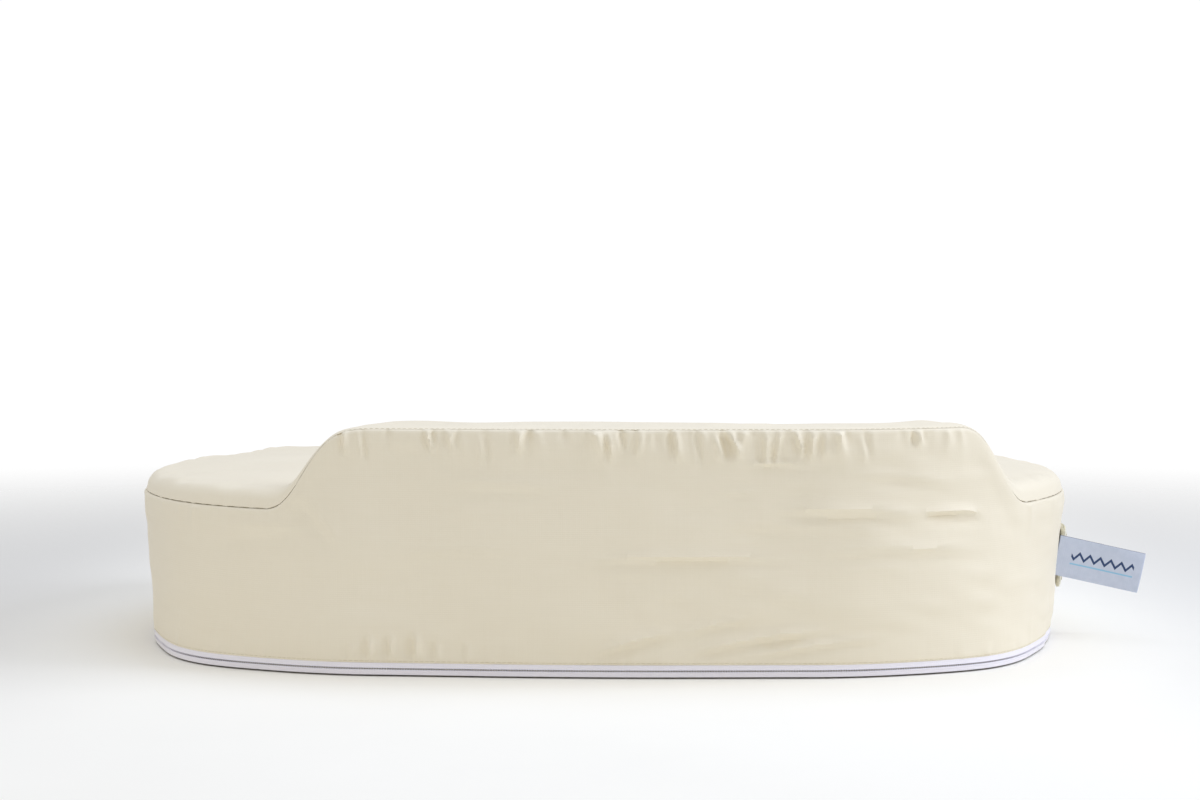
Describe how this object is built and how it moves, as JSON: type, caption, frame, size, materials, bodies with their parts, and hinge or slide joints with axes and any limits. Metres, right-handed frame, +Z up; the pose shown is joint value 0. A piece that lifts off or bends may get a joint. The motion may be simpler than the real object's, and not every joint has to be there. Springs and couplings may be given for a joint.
{
  "type": "nursing pillow",
  "caption": "C-shaped foam nursing pillow with a flat deck and raised front ridge, zip-off cloth cover, waist strap with side-release buckle and a sliding lumbar pad.",
  "frame": {"origin": "on the base's underside, on the pillow's centre line, halfway between the front edge and the waist opening", "axes": "+X to the side that carries the tag, +Y towards the waist opening's mouth and the lumbar pad, +Z up"},
  "size_m": [0.655, 0.4719, 0.1455],
  "materials": {
    "foam": "open-cell polyurethane foam, matte",
    "cream_sateen": "cream cotton sateen, fine weave, slight sheen",
    "white_zip_tape": "white woven polyester tape",
    "white_zip_coil": "white nylon coil",
    "nickel_plate": "nickel-plated zinc, satin",
    "cream_webbing": "cream polyester webbing, plain weave",
    "cream_elastic": "cream knitted elastic",
    "cream_acetal": "moulded acetal, semi-gloss",
    "pale_blue_satin": "woven satin label"
  },
  "bodies": {
    "pillow": {"foam_base": "foam", "foam_ridge": "foam", "cover_top_panel": "cream_sateen", "cover_outer_band": "cream_sateen", "cover_waist_band": "cream_sateen", "cover_base_panel": "cream_sateen", "zip_lower_tape": "white_zip_tape", "zip_upper_tape": "white_zip_tape", "zip_chain": "white_zip_coil", "zip_stop_left": "white_zip_coil", "zip_stop_right": "white_zip_coil", "strap_left": "cream_webbing", "strap_right": "cream_webbing", "strap_slack": "cream_webbing", "buckle_socket": "cream_acetal", "care_label": "pale_blue_satin"},
    "slider": {"zip_slider": "nickel_plate"},
    "pull": {"zip_pull": "nickel_plate"},
    "plug": {"buckle_plug": "cream_acetal", "strap_tail": "cream_webbing"},
    "keeper": {"strap_keeper": "cream_elastic"},
    "prong_upper": {"buckle_prong_upper": "cream_acetal"},
    "prong_lower": {"buckle_prong_lower": "cream_acetal"},
    "pad": {"pad_foam": "foam", "pad_cover_front": "cream_sateen", "pad_cover_rear": "cream_sateen", "pad_piping": "cream_sateen", "pad_loop_left": "cream_webbing", "pad_loop_right": "cream_webbing"},
    "tag": {"woven_tag": "pale_blue_satin"}
  },
  "joints": [
    {"name": "zip_run", "type": "hinge", "parent": "pillow", "child": "slider", "pos_m": [-0.15724, 0.3075, 0.0058], "axis": [0, 0, 1], "range_deg": [0, 70]},
    {"name": "zip_pull_flip", "type": "hinge", "parent": "slider", "child": "pull", "pos_m": [-0.10882, 0.31627, 0.0058], "axis": [0, 0, 1], "range_deg": [-150, 0]},
    {"name": "buckle_release", "type": "slide", "parent": "pillow", "child": "plug", "axis": [0.9767, 0.2146, 0], "range_m": [0, 0.03], "deforming": ["strap_slack", "buckle_prong_upper", "buckle_prong_lower"]},
    {"name": "prong_upper_press", "type": "hinge", "parent": "plug", "child": "prong_upper", "pos_m": [-0.14585, 0.37013, 0.068], "axis": [-0.2146, 0.9767, 0], "range_deg": [-9, 0], "stiffness_Nm_per_rad": 0.08},
    {"name": "prong_lower_press", "type": "hinge", "parent": "plug", "child": "prong_lower", "pos_m": [-0.14585, 0.37013, 0.034], "axis": [-0.2146, 0.9767, 0], "range_deg": [0, 9], "stiffness_Nm_per_rad": 0.08},
    {"name": "keeper_slide", "type": "slide", "parent": "plug", "child": "keeper", "axis": [0.9767, 0.2146, 0], "range_m": [-0.009, 0.003]},
    {"name": "pad_slide", "type": "slide", "parent": "pillow", "child": "pad", "axis": [1, 0, 0], "range_m": [-0.015, 0.015]},
    {"name": "tag_flap", "type": "hinge", "parent": "pillow", "child": "tag", "pos_m": [0.29922, 0.09583, 0.051], "axis": [0.2159, 0.0151, 0.9763], "range_deg": [-80, 8], "stiffness_Nm_per_rad": 0.002}
  ],
  "couplings": [
    {"joint": "prong_lower_press", "follows": "prong_upper_press", "ratio": -1}
  ]
}
